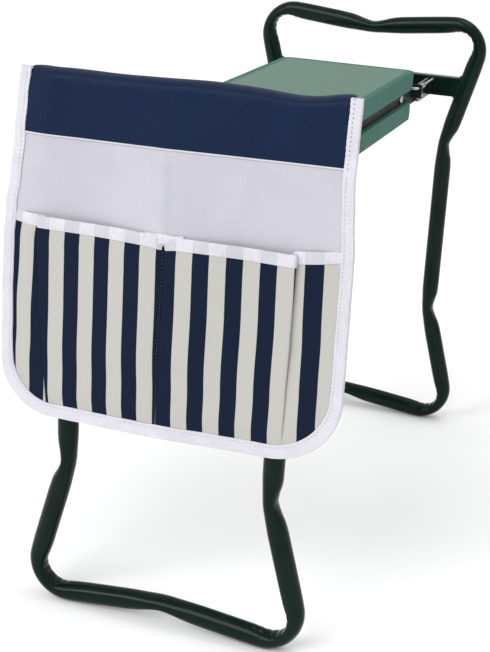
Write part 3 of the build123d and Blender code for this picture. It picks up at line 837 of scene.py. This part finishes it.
def softWave(p, q):
    # how far the hanging cloth stands out from a flat sheet: p across from the middle, q up
    # it was folded down the middle once, so it bows out there, most of all at the pockets' mouth
    waves = drape["bow"] * along(drape["bowAlong"], q) * hump(p, drape["bowMiddle"], drape["bowWidth"])
    waves += drape["footWave"] * (0.5 + 0.5 * math.sin(p * 34 + 0.6)) * blendStep(0.36, 0.30, q)
    waves += drape["cornerCurl"] * blendStep(0.10, 0.15, -p) * blendStep(0.30, 0.20, q)
    onBand = blendStep(0.355, 0.375, q) * blendStep(0.445, 0.43, q)
    rise = q - 0.40
    crease = hump(p - rise * 0.10, 0.008, 0.006)
    folds = hump(p + rise * 0.35, -0.055, 0.016) + 0.8 * hump(p + rise * 0.30, 0.070, 0.020)
    waves += onBand * (drape["crease"] * crease + drape["fold"] * folds
                       + drape["bandRipple"] * noise.noise(Vector((p * 30, q * 26, 4.2))))
    onHood = blendStep(0.44, 0.452, q)
    waves += onHood * (drape["hoodWave"] * math.sin(p * 52 + 1.0) ** 2
                       + drape["hoodRipple"] * noise.noise(Vector((p * 24, q * 18, 8.1))))
    return max(0.0, waves + drape["clearance"])


def onPouch(p, q, out):
    # a point of the hanging cloth, out metres in front of its face
    left, right = along(pouch["leftSide"], q), along(pouch["rightSide"], q)
    share = (p / pouch["halfWidth"] + 1) / 2
    # the left edge rolls back round the tube near the top
    roll = blendStep(0.118, 0.150, p) * blendStep(0.40, 0.47, q)
    x = pouch["frontX"] - out - softWave(p, q) + roll * drape["rollBack"]
    y = mix(right, left, share) + roll * drape["rollAside"]
    return Vector((x, y, q - p * along(pouch["tilt"], q)))


def bottomEdge(p):
    # the cut line of the lower edge, with its rounded corners
    half = pouch["halfWidth"]
    radius = pouch["leftCorner"] if p > 0 else pouch["rightCorner"]
    near = half - abs(p)
    lift = radius - math.sqrt(max(0.0, radius ** 2 - (radius - near) ** 2)) if near < radius else 0.0
    return pouch["bottom"] + lift


def sewnCloth(name, rows, uvs, material, slotName, *nodes, thickness=pouch["cloth"], smooth=50):
    piece = skin(name, rows, uvs=uvs)
    applyModifier(piece, "SOLIDIFY", thickness=thickness, offset=0)
    smoothShade(piece, smooth)
    return finishPiece(piece, material, "pouch", slotName, *nodes)


def sewnTape(name, rows, uvs, material, *nodes, smooth=55):
    # a closed section carried along a route, capped at both ends
    piece = skin(name, rows, rowClosed=True, uvs=uvs, capped=True)
    smoothShade(piece, smooth)
    return finishPiece(piece, material, "pouch", "white_tape", *nodes)


def columnsWithCorners(count):
    # columns across the pouch, closer together inside the rounded corners
    half = pouch["halfWidth"]
    arc = [1 - math.sin(math.radians(angle)) for angle in range(90, -1, -9)]
    left = [half - pouch["leftCorner"] * share for share in arc]
    right = [-half + pouch["rightCorner"] * share for share in reversed(arc)]
    middle = evenly(left[-1], right[0], count)[1:-1]
    return left + middle + right


panel = {"columns": 70, "rows": 44, "under": 0.0002, "mouthLap": 0.002, "stripeShift": 0.004,
         "bandHalf": 0.1495, "bandColumns": 150, "bandRows": 60, "bandOut": 0.0008, "seamLap": 0.002}


def backPanel():
    across, down = columnsWithCorners(panel["columns"]), evenly(0, 1, panel["rows"])
    mouth = pouch["mouth"]
    rows = [[onPouch(p, mix(mouth - panel["mouthLap"], bottomEdge(p), v), -panel["under"]) for p in across]
            for v in down]
    uvs = [[(p - panel["stripeShift"], mix(mouth, bottomEdge(p), v)) for p in across] for v in down]
    return sewnCloth("pouchStripedBack", rows, uvs, stripes, "stripe_cloth", "pouch_back_panel")


def bandPanel():
    across = evenly(panel["bandHalf"], -panel["bandHalf"], panel["bandColumns"])
    down = evenly(pouch["seam"] + panel["seamLap"], pouch["whiteFoot"], panel["bandRows"])
    rows = [[onPouch(p, q, panel["bandOut"]) for p in across] for q in down]
    uvs = [[(p, q) for p in across] for q in down]
    return sewnCloth("pouchWhiteBand", rows, uvs, whiteCloth, "white_cloth", "pouch_white_panel")


backPanel()
whiteBand = bandPanel()
print("pouch back and white band hung")

hood = {
    "fold": 0.0105, "endClose": 0.013, "backFoot": 0.4440, "squareness": 0.62, "half": 0.1496, "columns": 150,
    "seamLap": 0.0012, "out": 0.0014, "backRoom": 0.0006, "foldRoom": 0.0012, "slack": 0.0008,
    "ripple": 0.0004, "rightRise": 0.0012, "dip": 0.0034, "dipMiddle": -0.098, "dipWidth": 0.030,
    "endDrop": 0.0034,
}


def hoodProfile():
    # the sleeve's line, as (height, share of its depth): front seam, over the handle, foot of the back flap
    shoulder = pouch["top"] - hood["fold"]
    steps = [(q, 0.0) for q in evenly(pouch["seam"] - hood["seamLap"], shoulder, 20)]
    for k in range(1, 17):
        angle = math.pi * k / 16
        rise = hood["fold"] * math.sin(angle) ** hood["squareness"]
        steps.append((shoulder + rise, 0.5 - 0.5 * math.cos(angle)))
    return steps + [(q, 1.0) for q in evenly(shoulder, hood["backFoot"], 16)[1:]]


def hoodPlace(p, step):
    q, share = step
    half = pouch["halfWidth"]
    front = onPouch(p, q, hood["out"])
    depth = pouch["backFlapX"] - pouch["frontX"] + hood["backRoom"]
    edge = min(1.0, max(0.0, half - 0.005 - abs(p)) / hood["endClose"])
    opening = math.sqrt(max(0.0, 1 - (1 - edge) ** 2))
    slack = hood["slack"] * math.sin(p * 60 + 2) * share
    crest = blendStep(pouch["top"] - 0.012, pouch["top"], q)
    lift = crest * (hood["ripple"] * math.sin(p * 47 + 2.2) + hood["rightRise"] * blendStep(-0.11, -0.14, p)
                    - hood["dip"] * hump(p, hood["dipMiddle"], hood["dipWidth"])
                    - hood["endDrop"] * blendStep(half - 0.009, half - 0.001, abs(p)))
    return front + Vector((share * (hood["foldRoom"] + (depth + slack) * opening), 0, lift))


def hoodCloth():
    across = evenly(hood["half"], -hood["half"], hood["columns"])
    steps = hoodProfile()
    rows = [[hoodPlace(p, step) for p in across] for step in steps]
    middle = hood["columns"] // 2
    travel, uvs = 0.0, []
    for index, row in enumerate(rows):
        if index:
            travel += (row[middle] - rows[index - 1][middle]).length
        uvs.append([(p, travel) for p in across])
    piece = sewnCloth("pouchHoodCloth", rows, uvs, navyCloth, "navy_cloth", "pouch_hood")


hoodCloth()
print("hood over the handle")


pocket = {
    "seamGap": 0.0006, "seamOut": 0.0012, "seamPull": 0.0009, "standOff": 0.0058, "footStandOff": 0.0012,
    "bodyCurve": 0.0016, "foldTuck": 0.0040, "foldRound": 0.0008, "foldSwell": 0.0006,
    "gussetOut": 0.0012, "gussetCurve": 0.0010,
    "hemOut": 0.0007, "hemStart": 0.008, "hemReach": 0.026, "depth": 0.176, "rows": 60, "footLap": 0.003,
    "bodySteps": 40, "gussetIndex": 47, "gussetSteps": 20, "tapeWidth": 0.0097,
    "stripesMeet": 0.340,  # height at which the stripes' places were set
    "left": {"sign": 1, "fold": [(0.20, 0.1086), (0.24, 0.1106), (0.295, 0.1141), (0.361, 0.1170)],
             "gussetRise": (0.0, 0.0), "stripeShift": -0.00185, "stripeLean": -0.0254,
             "gussetStripe": 0.1085, "gussetLean": 0.084, "gussetStretch": 1.0},
    "right": {"sign": -1, "fold": [(0.208, -0.1023), (0.245, -0.1031), (0.298, -0.1045), (0.362, -0.1059)],
              "gussetRise": (0.0025, 0.0062), "stripeShift": 0.00475, "stripeLean": 0.0177,
              "gussetStripe": 0.1274, "gussetLean": 0.033, "gussetStretch": 0.9},
}


def edgeInset(p, q):
    # how far a point of the pouch is inside its outline, sides and bottom only
    half = pouch["halfWidth"]
    radius = pouch["leftCorner"] if p > 0 else pouch["rightCorner"]
    across, up = half - abs(p), q - pouch["bottom"]
    if across < radius and up < radius:
        return radius - math.hypot(radius - across, radius - up)
    return min(across, up)


def pocketSection(side, q, shareDown):
    # one level of a pocket, from the centre seam round the fold to the side binding: (p, out) pairs
    sign = pocket[side]["sign"]
    seamP = along(pouch["centreSeam"], q) + sign * pocket["seamGap"]
    foldP = along(pocket[side]["fold"], q)
    sideP = sign * (pouch["halfWidth"] - 0.004)
    easing = mix(shareDown, blendStep(0.0, 1.0, shareDown), 0.75)
    stand = mix(pocket["standOff"], pocket["footStandOff"], easing)
    section = []
    for share in evenly(0, 1, pocket["bodySteps"]):
        body = pocket["bodyCurve"] * math.sin(math.pi * share) * (1 - shareDown * 0.6)
        body -= pocket["seamPull"] * (1 - blendStep(0.0, 0.03, share))
        section.append((mix(seamP, foldP, share), pocket["seamOut"] + stand * share ** 0.8 + body))
    tuck = sign * pocket["foldTuck"] * (1 - 0.4 * shareDown)
    front = section[-1][1]
    for k in range(1, 5):
        angle = math.pi * k / 5
        section.append((foldP + sign * pocket["foldSwell"] * math.sin(angle),
                        front - pocket["foldRound"] * (1 - math.cos(angle))))
    for share, back in ((0.6, 0.0022), (1.0, 0.0028), (0.6, 0.0034)):
        section.append((foldP - tuck * share, front - back))
    for share in evenly(0, 1, pocket["gussetSteps"])[1:]:
        gusset = mix(max(front - 0.0038, pocket["gussetOut"]), pocket["gussetOut"], share ** 1.1)
        gusset += pocket["gussetCurve"] * math.sin(math.pi * share) * (1 - shareDown)
        section.append((mix(foldP - tuck * 0.3, sideP, share), gusset))
    return section


def pocketMouth(side, index, count):
    # height of the pocket's upper edge along its section
    share = index / (count - 1)
    start = pocket["gussetIndex"]
    onGusset = max(0, index - start) / (count - 1 - start)
    rise = blendStep(start - 2, start + 1, index) * mix(*pocket[side]["gussetRise"], onGusset)
    return pouch["mouth"] + 0.0007 * math.sin(share * 7.0) - 0.0016 * hump(share, 0, 0.04) + rise


def pocketRows(side, levels):
    rows, uvs = [], []
    own = pocket[side]
    count = len(pocketSection(side, pouch["mouth"], 0.0))
    for level in levels:
        section = pocketSection(side, mix(pouch["mouth"], pouch["bottom"], level), level)
        row, uvRow = [], []
        length = startLength = 0.0
        for index, (p, out) in enumerate(section):
            q = mix(pocketMouth(side, index, count), bottomEdge(p) + pocket["footLap"], level)
            hem = blendStep(pocket["hemStart"], pocket["hemReach"], edgeInset(p, q))
            row.append(onPouch(p, q, mix(pocket["hemOut"], out, hem)))
            if index:
                length += math.hypot(p - section[index - 1][0], out - section[index - 1][1])
            if index == pocket["gussetIndex"]:
                startLength = length
            drop = pocket["stripesMeet"] - q
            across = length - own["stripeShift"] - own["stripeLean"] * drop
            if index >= pocket["gussetIndex"]:
                across = (own["gussetStripe"] + (length - startLength) * own["gussetStretch"]
                          - own["stripeShift"] - own["gussetLean"] * drop)
            uvRow.append((own["sign"] * across, q))
        rows.append(row)
        uvs.append(uvRow)
    return rows, uvs


def pocketCloth(side, node):
    rows, uvs = pocketRows(side, evenly(0, 1, pocket["rows"]))
    piece = sewnCloth(f"{side}PocketCloth", rows, uvs, stripes, "stripe_cloth", node, smooth=60)
    length = sum((b - a).length for a, b in zip(rows[0], rows[0][1:]))
    return piece, (round(length, 3), pocket["depth"])


leftPocket, leftFlat = pocketCloth("left", "left_pocket")
rightPocket, rightFlat = pocketCloth("right", "right_pocket")
print("pockets sewn on")


binding = {
    "sideWidth": 0.0092, "footWidth": 0.0116, "thickness": 0.0007, "front": 0.0021, "rim": 0.0013,
    "topLap": 0.0006, "wobble": 0.0004, "puff": 0.0003, "scallop": 0.00045, "scallopPitch": 0.0042,
}


def bindingWidth(q):
    # the tape is narrower up the sides than under the bottom
    return mix(binding["footWidth"], binding["sideWidth"], blendStep(0.20, 0.26, q))


def outlineRoute():
    # the edge of the pouch from its top left, round the bottom, to its top right: (p, q, inward p, inward q)
    half, foot, top = pouch["halfWidth"], pouch["bottom"], pouch["top"] + binding["topLap"]
    left, right = pouch["leftCorner"], pouch["rightCorner"]
    route = [(half, q, -1.0, 0.0) for q in evenly(top, foot + left, 110)]
    for angle in evenly(0, math.pi / 2, 12)[1:-1]:
        across, down = math.cos(angle), math.sin(angle)
        route.append((half - left * (1 - across), foot + left * (1 - down), -across, down))
    route += [(p, foot, 0.0, 1.0) for p in evenly(half - left, right - half, 80)]
    for angle in evenly(0, math.pi / 2, 16)[1:-1]:
        across, down = math.sin(angle), math.cos(angle)
        route.append((right * (1 - across) - half, foot + right * (1 - down), across, down))
    return route + [(-half, q, 1.0, 0.0) for q in evenly(foot + right, top, 110)]


def bindingSection(width):
    # a folded tape across the edge, as (inward, out) pairs: front flange, fold, back flange, then its inside
    front, rim, thick = binding["front"], binding["rim"], binding["thickness"]
    section = [(width, front - 0.0006), (width - 0.0004, front + thick * 0.5)]
    section += [(inward, front + thick * 0.7) for inward in evenly(width - 0.001, 0.001, 6)]
    for degrees in (25, 60, 90, 120, 155):
        angle = math.radians(degrees)
        section.append((-rim * math.sin(angle), 0.0003 + (front + thick * 0.5) * math.cos(angle)))
    section += [(inward, -0.0016 - thick * 0.2) for inward in evenly(0.001, width - 0.001, 6)]
    section += [(width, -0.0012)]
    section += [(inward, -0.0009) for inward in evenly(width - 0.001, 0.0008, 4)]
    section += [(0.0, 0.0003)]
    section += [(inward, front - 0.0008) for inward in evenly(0.0008, width - 0.001, 4)]
    return section


def edgeBinding():
    rows, uvs = [], []
    travelled = 0.0
    previous = None
    for p, q, inP, inQ in outlineRoute():
        here = onPouch(p, q, 0)
        if previous:
            travelled += (here - previous).length
        previous = here
        ripple = binding["wobble"] * noise.noise(Vector((travelled * 55, 3.3, 0)))
        scallop = abs(math.sin(math.pi * travelled / binding["scallopPitch"])) - 0.6
        ripple += binding["scallop"] * scallop * blendStep(0.43, 0.445, q)
        row, uvRow = [], []
        for inward, out in bindingSection(bindingWidth(q)):
            reach = inward + (ripple if inward > 0.006 else ripple * 0.6)
            puff = binding["puff"] * noise.noise(Vector((travelled * 90, inward * 120, 1.0)))
            row.append(onPouch(p + inP * reach, q + inQ * reach, out + puff))
            uvRow.append((travelled, inward))
        rows.append(row)
        uvs.append(uvRow)
    return sewnTape("pouchEdgeBinding", rows, uvs, tape, "edge_binding"), travelled


edgeTape, edgeLength = edgeBinding()


# round the mouth tape's section: share of its width down from the pocket's edge, and out from the cloth
mouthSection = [
    (1.0, 0.0003), (1.0, 0.0009), (0.75, 0.0012), (0.5, 0.0012), (0.25, 0.0012), (0.04, 0.0010), (-0.07, 0.0),
    (0.04, -0.0009), (0.5, -0.0010), (1.0, -0.0009), (1.0, -0.0006), (0.10, 0.0),
]
seamNotch = 0.0011  # the tapes part a little at the centre seam


def mouthBinding(side):
    # tape folded over a pocket's upper edge
    (upper, lower), uvs = pocketRows(side, [0.0, pocket["tapeWidth"] / pocket["depth"]])
    count = len(upper)
    runs = [upper[min(j + 1, count - 1)] - upper[max(j - 1, 0)] for j in range(count)]
    normals = [Vector((run.y, -run.x, 0)).normalized() for run in runs]
    if sum(normal.x for normal in normals) > 0:
        normals = [-normal for normal in normals]
    rows, tapeUvs = [], []
    for j, (top, foot, outward) in enumerate(zip(upper, lower, normals)):
        notch = pocket[side]["sign"] * seamNotch if j == 0 else 0.0
        down = foot - top + Vector((0, notch, 0))
        rows.append([top + down * share + outward * out for share, out in mouthSection])
        tapeUvs.append([(uvs[0][j][0], 0.01 * k / len(mouthSection)) for k in range(len(mouthSection))])
    piece = sewnTape(f"{side}PocketTape", rows, tapeUvs, mouthTape)


mouthBinding("left")
mouthBinding("right")
print("tape sewn round the edges")


stitch = {
    "pitch": 0.0036, "length": 0.0024, "thick": 0.00042, "greySpots": 26, "greyLength": 0.0011,
    "seamPitch": 0.0032, "seamLength": 0.0022, "seamThick": 0.00045,
}


def stitchRow(name, route, material, slotName, pitch, length, thick):
    # small six-cornered stitches, evenly spaced along a route of points
    points, faces = [], []
    travelled, due = 0.0, pitch / 2
    for a, b in zip(route, route[1:]):
        run = (b - a).length
        while due <= travelled + run:
            ahead = (b - a).normalized()
            outward = (Vector((-1, 0, 0)) + ahead * ahead.x).normalized()
            across = ahead.cross(outward)
            middle = a + (b - a) * ((due - travelled) / run)
            base = len(points)
            points.append(middle - ahead * length * 0.5 - outward * thick * 0.7)
            for share in (-0.28, 0.28):
                for u, v in ((1, 0), (0, 1), (-1, 0), (0, -1)):
                    points.append(middle + ahead * length * share
                                  + across * u * thick + outward * v * thick * 0.7)
            points.append(middle + ahead * length * 0.5 - outward * thick * 0.7)
            for k in range(4):
                m = (k + 1) % 4
                faces.append((base, base + 1 + m, base + 1 + k))
                faces.append((base + 1 + k, base + 1 + m, base + 5 + m, base + 5 + k))
                faces.append((base + 9, base + 5 + k, base + 5 + m))
            due += pitch
        travelled += run
    mesh = bpy.data.meshes.new(name)
    mesh.from_pydata([tuple(point) for point in points], [], faces)
    mesh.uv_layers.new(name="cloth")
    piece = bpy.data.objects.new(name, mesh)
    bpy.context.scene.collection.objects.link(piece)
    tidyMesh(piece, 1e-7)
    smoothShade(piece, 80)
    return finishPiece(piece, material, "pouch", slotName)


def bindingStitches():
    route = []
    for p, q, inP, inQ in outlineRoute():
        reach = bindingWidth(q) - mix(0.0024, 0.0036, blendStep(0.40, 0.45, q))
        route.append(onPouch(p + inP * reach, q + inQ * reach, 0.0028))
    turn = len(route) - stitch["greySpots"]  # the stitches show grey near the top right
    return [
        stitchRow("edgeStitches", route[:turn], thread, "white_tape", stitch["pitch"],
                  stitch["length"], stitch["thick"]),
        stitchRow("topStitches", route[turn:], greyThread, "white_tape", stitch["pitch"],
                  stitch["greyLength"], stitch["thick"]),
    ]


def seamStitches():
    route = []
    for q in evenly(pouch["mouth"] - 0.012, pouch["bottom"] + 0.013, 60):
        down = (pouch["mouth"] - q) / (pouch["mouth"] - pouch["bottom"])
        hem = blendStep(pocket["hemStart"], pocket["hemReach"], q - pouch["bottom"])
        route.append(onPouch(along(pouch["centreSeam"], q), q, mix(0.0012, 0.0013, hem) + down * 0.0002))
    return stitchRow("seamStitches", route, darkThread, "navy_cloth", stitch["seamPitch"],
                     stitch["seamLength"], stitch["seamThick"])


piping = {"radius": 0.00075, "sides": 8, "half": 0.1475, "below": 0.0016, "out": 0.0018}
centreTape = {"left": 0.0195, "right": -0.0135, "below": 0.006, "above": 0.0024, "out": 0.0019,
              "thickness": 0.0010, "edgeWave": 0.0006, "faceWave": 0.0004}


def hoodPiping():
    # a thin bright roll under the hood's front seam
    rows, uvs = [], []
    for p in evenly(piping["half"], -piping["half"], 150):
        middle = onPouch(p, pouch["seam"] - piping["below"], piping["out"])
        rows.append(circle(middle, Vector((1, 0, 0)), Vector((0, 0, 1)), piping["radius"], piping["sides"]))
        uvs.append([(p, 0.0006 * k) for k in range(piping["sides"])])
    return sewnTape("hoodPiping", rows, uvs, tape, smooth=60)


def centreTab():
    # a short tape that holds the pockets' middle to the band
    across = evenly(centreTape["left"], centreTape["right"], 22)
    up = evenly(pouch["mouth"] + centreTape["above"], pouch["mouth"] - centreTape["below"], 8)
    rows = []
    for q in up:
        lift = [centreTape["edgeWave"] * math.sin(p * 300) for p in across]
        out = [centreTape["out"] + centreTape["faceWave"] * math.sin(p * 210 + q * 500) for p in across]
        rows.append([onPouch(p, q + rise, away) for p, rise, away in zip(across, lift, out)])
    uvs = [[(p, q) for p in across] for q in up]
    return sewnCloth("centreTab", rows, uvs, tape, "white_tape", thickness=centreTape["thickness"])


edgeStitching = bindingStitches()
seamStitching = seamStitches()
seamPiping = hoodPiping()
tab = centreTab()
print("stitched and piped")


view = {"place": (-1.3294, -0.43082, 0.69774), "azimuth": -70.75, "elevation": 19.80, "roll": 3.11,
        "lens": 79.02}
studio = {
    "floorSize": 80.0, "floorColour": (0.95, 0.95, 0.95, 1), "floorRoughness": 0.9,
    "worldColour": (1.0, 1.0, 1.0, 1), "worldStrength": 0.79, "aim": (0, 0, 0.25),
    "sun": {"from": (-1.0, 0.35, 0.95), "strength": 1.30, "softness": 34.0},
    "lamps": [
        {"name": "sideLamp", "place": (-2.4, 1.9, 1.6), "size": 0.9, "power": 14.0},
        {"name": "topLamp", "place": (0.5, -0.6, 2.6), "size": 1.2, "power": 12.0},
    ],
}


def lampObject(name, kind, energy, direction):
    light = bpy.data.objects.new(name, bpy.data.lights.new(name, kind))
    light.data.energy = energy
    light.rotation_euler = direction.to_track_quat("Z", "Y").to_euler()
    bpy.context.scene.collection.objects.link(light)
    return light


def placeCamera():
    camera = bpy.data.objects.new("viewCamera", bpy.data.cameras.new("viewCamera"))
    bpy.context.scene.collection.objects.link(camera)
    turn = (Matrix.Rotation(math.radians(view["azimuth"]), 4, "Z")
            @ Matrix.Rotation(math.radians(90 - view["elevation"]), 4, "X")
            @ Matrix.Rotation(math.radians(view["roll"]), 4, "Z"))
    camera.matrix_world = Matrix.Translation(view["place"]) @ turn
    camera.data.lens = view["lens"]
    camera.data.sensor_width = 36.0
    camera.data.clip_start = 0.05
    camera.data.clip_end = 150
    bpy.context.scene.camera = camera


def lightStudio():
    for lamp in studio["lamps"]:
        light = lampObject(lamp["name"], "AREA", lamp["power"], Vector(lamp["place"]) - Vector(studio["aim"]))
        light.location = lamp["place"]
        light.data.size = lamp["size"]
    sun = lampObject("softSun", "SUN", studio["sun"]["strength"], Vector(studio["sun"]["from"]))
    sun.data.angle = math.radians(studio["sun"]["softness"])
    world = bpy.data.worlds.new("studioWorld")
    world.use_nodes = True
    background = world.node_tree.nodes["Background"]
    background.inputs["Color"].default_value = studio["worldColour"]
    background.inputs["Strength"].default_value = studio["worldStrength"]
    bpy.context.scene.world = world
    bpy.context.scene.view_settings.view_transform = "Standard"


def layFloor():
    bpy.ops.object.select_all(action="DESELECT")
    bpy.ops.mesh.primitive_plane_add(size=studio["floorSize"], location=(0, 0, 0))
    floor = bpy.context.object
    floor.name = "studioFloor"
    material = bpy.data.materials.new("floorPaper")
    material.use_nodes = True
    shader = material.node_tree.nodes["Principled BSDF"]
    shader.inputs["Base Color"].default_value = studio["floorColour"]
    shader.inputs["Roughness"].default_value = studio["floorRoughness"]
    floor.data.materials.append(material)


placeCamera()
lightStudio()
layFloor()
print("studio ready")
